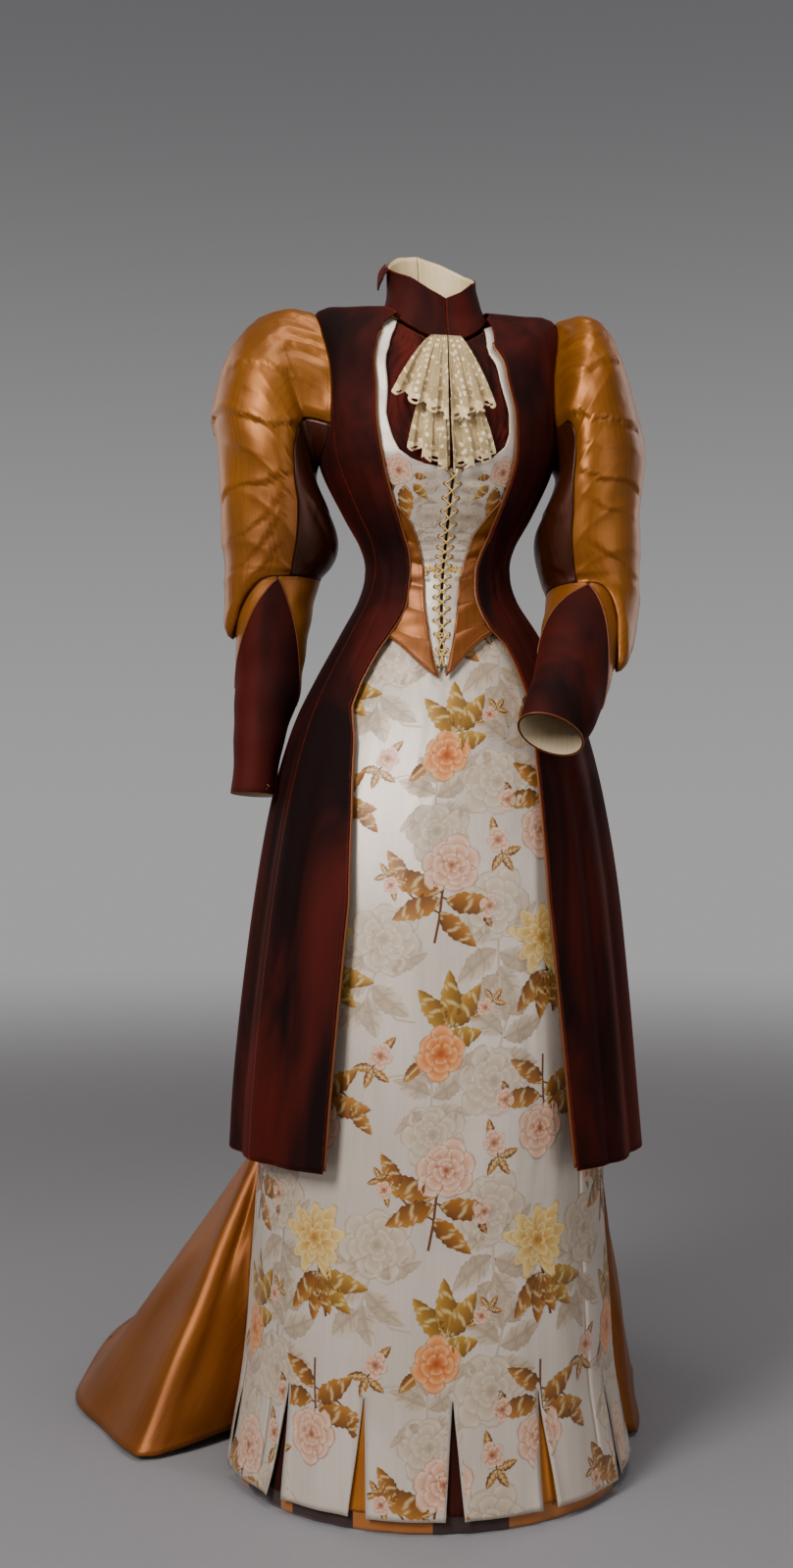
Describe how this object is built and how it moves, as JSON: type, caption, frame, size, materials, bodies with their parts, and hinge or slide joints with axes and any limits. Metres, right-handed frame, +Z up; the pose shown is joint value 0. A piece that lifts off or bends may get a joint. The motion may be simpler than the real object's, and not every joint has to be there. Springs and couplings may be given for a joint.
{
  "type": "evening gown",
  "caption": "Laced evening gown: velvet coat-bodice over a brocade front, puffed satin sleeves with velvet forearms, slashed brocade skirt and satin train.",
  "frame": {"origin": "midway between the two shoulder points, where the wearer holds the gown up; the hem rests 1.41 m below", "axes": "+Z up, the front faces -Y, +X to the wearer's left"},
  "size_m": [0.754, 1.191, 1.4804],
  "materials": {
    "coat_velvet": "deep red-brown silk velvet",
    "facing_satin": "bronze satin piping",
    "front_brocade": "ivory silk brocade, damask and coloured sprays",
    "gold_satin": "golden brown silk satin",
    "under_sleeve_satin": "russet silk satin",
    "lacing_cord": "yellow silk cord",
    "ecru_lace": "ecru needle lace",
    "collar_silk": "cream silk lining",
    "plastron_velvet": "gathered russet velvet",
    "placket_cloth": "brown twill",
    "hem_cloth": "velvet and satin hem pleats"
  },
  "bodies": {
    "root": {"coat_front_right": "coat_velvet", "coat_side_right": "coat_velvet", "coat_back_right": "coat_velvet", "collar_right": "coat_velvet", "forearm_velvet_right": "coat_velvet", "coat_facing_right": "facing_satin", "bodice_front_right": "front_brocade", "girdle_right": "gold_satin", "sleeve_puff_right": "gold_satin", "sleeve_point_outer_right": "gold_satin", "sleeve_point_inner_right": "gold_satin", "under_sleeve_right": "under_sleeve_satin", "lacing_cord_right": "lacing_cord", "jabot_upper_right": "ecru_lace", "jabot_lower_right": "ecru_lace", "coat_front_left": "coat_velvet", "coat_side_left": "coat_velvet", "coat_back_left": "coat_velvet", "collar_left": "coat_velvet", "forearm_velvet_left": "coat_velvet", "coat_facing_left": "facing_satin", "bodice_front_left": "front_brocade", "girdle_left": "gold_satin", "sleeve_puff_left": "gold_satin", "sleeve_point_outer_left": "gold_satin", "sleeve_point_inner_left": "gold_satin", "under_sleeve_left": "under_sleeve_satin", "lacing_cord_left": "lacing_cord", "jabot_upper_left": "ecru_lace", "jabot_lower_left": "ecru_lace", "collar_corner": "coat_velvet", "collar_lining": "collar_silk", "plastron": "plastron_velvet", "lacing_placket": "placket_cloth", "skirt_front_upper": "front_brocade", "skirt_front_middle": "front_brocade", "skirt_front_lower": "front_brocade", "skirt_side_right": "front_brocade", "skirt_side_left": "front_brocade", "foundation_hem": "hem_cloth", "hem_pleat_1": "hem_cloth", "hem_pleat_2": "hem_cloth", "hem_pleat_3": "hem_cloth", "hem_pleat_4": "hem_cloth", "hem_pleat_5": "hem_cloth", "hem_pleat_6": "hem_cloth", "hem_pleat_7": "hem_cloth", "train_right_upper": "gold_satin", "train_right_middle": "gold_satin", "train_right_lower": "gold_satin", "train_centre": "gold_satin", "train_left_upper": "gold_satin", "train_left_middle": "gold_satin", "train_left_lower": "gold_satin"}
  },
  "joints": []
}
